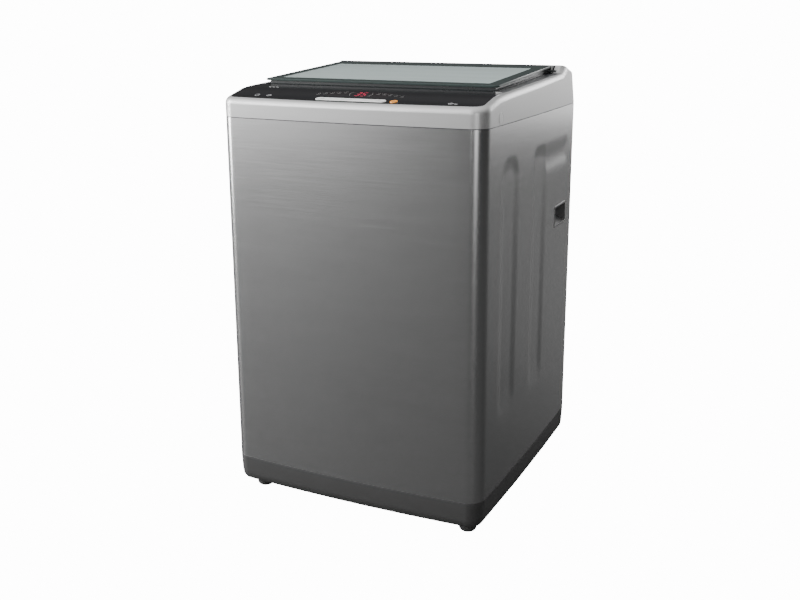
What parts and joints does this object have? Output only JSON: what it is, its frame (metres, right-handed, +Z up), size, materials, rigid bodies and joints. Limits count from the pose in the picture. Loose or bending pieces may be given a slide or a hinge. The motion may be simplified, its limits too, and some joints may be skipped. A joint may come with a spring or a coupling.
{
  "type": "top load washing machine",
  "caption": "Top load washing machine with a glass lid, sloping key panel, sprung tub, spin basket and belt driven pulsator.",
  "frame": {"origin": "middle of the footprint on the floor", "axes": "+Z up, front toward -Y, +X to the right as seen from the front"},
  "size_m": [0.55, 0.579, 0.8652],
  "materials": {
    "cabinet_paint": "metallic grey paint on steel sheet",
    "zinc_sheet": "zinc coated steel sheet",
    "base_plastic": "dark grey moulded plastic",
    "silver_plastic": "silver grey painted plastic",
    "black_gloss": "glossy black panel",
    "smoked_window": "smoked display window",
    "led_red": "red digit module",
    "board_green": "circuit board",
    "white_plastic": "white moulded plastic",
    "tub_plastic": "grey white polypropylene",
    "key_silver": "silver key caps",
    "key_orange": "orange key cap",
    "drawer_blue": "blue translucent plastic",
    "dark_plastic": "dark moulded plastic",
    "lid_plastic": "dark lid frame",
    "lid_glass": "tempered glass, lightly tinted",
    "rubber_black": "black rubber",
    "steel": "plain steel",
    "stainless": "stainless sheet",
    "cast_aluminium": "die cast aluminium",
    "motor_steel": "painted laminations and end shields",
    "handle_plastic": "grey plastic matched to the cabinet"
  },
  "bodies": {
    "root": {"cabinet": "cabinet_paint", "back_panel": "zinc_sheet", "back_screws": "steel", "base_frame": "base_plastic", "rear_feet": "rubber_black", "top_frame": "silver_plastic", "screw_caps": "silver_plastic", "control_fascia": "black_gloss", "display_window": "smoked_window", "display_digits": "led_red", "control_board": "board_green", "control_box": "white_plastic", "detergent_housing": "white_plastic", "inlet_valve": "white_plastic", "pressure_switch": "dark_plastic", "pressure_hose": "rubber_black", "side_handle_left": "handle_plastic", "side_handle_right": "handle_plastic", "corner_brackets": "zinc_sheet", "suspension_rods": "steel", "rod_caps": "dark_plastic", "suspension_springs": "steel", "lid_hinge_pins": "dark_plastic", "drain_bellows": "rubber_black", "drain_outlet": "dark_plastic", "cord_gland": "dark_plastic"},
    "lid": {"lid_frame": "lid_plastic", "lid_glass": "lid_glass", "lid_bumpers": "rubber_black"},
    "start_key": {"start_button": "key_orange"},
    "drawer": {"detergent_drawer": "drawer_blue"},
    "left_foot": {"foot_pad_left": "rubber_black"},
    "left_foot_screw": {"foot_stem_left": "steel"},
    "right_foot": {"foot_pad_right": "rubber_black"},
    "right_foot_screw": {"foot_stem_right": "steel"},
    "tub": {"outer_tub": "tub_plastic", "tub_ring": "tub_plastic", "shaft_seal": "rubber_black", "drive_bracket": "zinc_sheet", "gearcase": "cast_aluminium", "motor_housing": "motor_steel", "drive_belt": "rubber_black", "drain_valve": "white_plastic"},
    "basket": {"wash_basket": "stainless", "basket_base": "tub_plastic", "balance_ring": "white_plastic", "basket_flange": "cast_aluminium", "spin_shaft": "steel", "lint_filter": "drawer_blue"},
    "agitator": {"pulsator": "white_plastic", "pulsator_screw": "steel", "wash_shaft": "steel"},
    "drive_pulley": {"driven_pulley": "cast_aluminium"},
    "motor_rotor": {"motor_shaft": "steel", "motor_pulley": "cast_aluminium"},
    "key_1": {"button_1": "key_silver"},
    "key_2": {"button_2": "key_silver"},
    "key_3": {"button_3": "key_silver"},
    "key_4": {"button_4": "key_silver"},
    "key_5": {"button_5": "key_silver"}
  },
  "joints": [
    {"name": "lid_hinge", "type": "hinge", "parent": "root", "child": "lid", "pos_m": [0, 0.172, 0.85222], "axis": [-1, 0, 0], "range_deg": [0, 98]},
    {"name": "drawer_slide", "type": "slide", "parent": "root", "child": "drawer", "axis": [0, -1, 0], "range_m": [0, 0.06]},
    {"name": "key_1_press", "type": "slide", "parent": "root", "child": "key_1", "axis": [0, 0, -1], "range_m": [0, 0.0012], "stiffness_N_per_m": 800, "springref_m": -0.0008},
    {"name": "key_2_press", "type": "slide", "parent": "root", "child": "key_2", "axis": [0, 0, -1], "range_m": [0, 0.0012], "stiffness_N_per_m": 800, "springref_m": -0.0008},
    {"name": "key_3_press", "type": "slide", "parent": "root", "child": "key_3", "axis": [0, 0, -1], "range_m": [0, 0.0012], "stiffness_N_per_m": 800, "springref_m": -0.0008},
    {"name": "key_4_press", "type": "slide", "parent": "root", "child": "key_4", "axis": [0, 0, -1], "range_m": [0, 0.0012], "stiffness_N_per_m": 800, "springref_m": -0.0008},
    {"name": "key_5_press", "type": "slide", "parent": "root", "child": "key_5", "axis": [0, 0, -1], "range_m": [0, 0.0012], "stiffness_N_per_m": 800, "springref_m": -0.0008},
    {"name": "start_press", "type": "slide", "parent": "root", "child": "start_key", "axis": [0, 0, -1], "range_m": [0, 0.0012], "stiffness_N_per_m": 800, "springref_m": -0.0008},
    {"name": "left_foot_height", "type": "slide", "parent": "root", "child": "left_foot", "axis": [0, 0, -1], "range_m": [0, 0.0125]},
    {"name": "left_foot_turn", "type": "hinge", "parent": "left_foot", "child": "left_foot_screw", "pos_m": [-0.231, -0.233, 0.03], "axis": [0, 0, 1], "range_deg": [0, 3601]},
    {"name": "right_foot_height", "type": "slide", "parent": "root", "child": "right_foot", "axis": [0, 0, -1], "range_m": [0, 0.0125]},
    {"name": "right_foot_turn", "type": "hinge", "parent": "right_foot", "child": "right_foot_screw", "pos_m": [0.231, -0.233, 0.03], "axis": [0, 0, 1], "range_deg": [0, 3601]},
    {"name": "tub_bounce", "type": "slide", "parent": "root", "child": "tub", "axis": [0, 0, 1], "range_m": [-0.03, 0.008], "stiffness_N_per_m": 7200, "springref_m": 0.04237, "deforming": ["suspension_springs", "drain_bellows", "pressure_hose"]},
    {"name": "basket_spin", "type": "hinge", "parent": "tub", "child": "basket", "pos_m": [0, 0, 0.3], "axis": [0, 0, 1], "continuous": true},
    {"name": "pulsator_turn", "type": "hinge", "parent": "basket", "child": "agitator", "pos_m": [0, 0, 0.3], "axis": [0, 0, 1], "continuous": true},
    {"name": "pulley_turn", "type": "hinge", "parent": "tub", "child": "drive_pulley", "pos_m": [0, 0, 0.12], "axis": [0, 0, 1], "continuous": true},
    {"name": "motor_turn", "type": "hinge", "parent": "tub", "child": "motor_rotor", "pos_m": [0, 0.165, 0.12], "axis": [0, 0, 1], "continuous": true}
  ],
  "couplings": [
    {"joint": "left_foot_turn", "follows": "left_foot_height", "rad_per_m": 5026.5},
    {"joint": "right_foot_turn", "follows": "right_foot_height", "rad_per_m": 5026.5},
    {"joint": "pulley_turn", "follows": "pulsator_turn", "ratio": 5.2},
    {"joint": "motor_turn", "follows": "pulsator_turn", "ratio": 18.436}
  ]
}
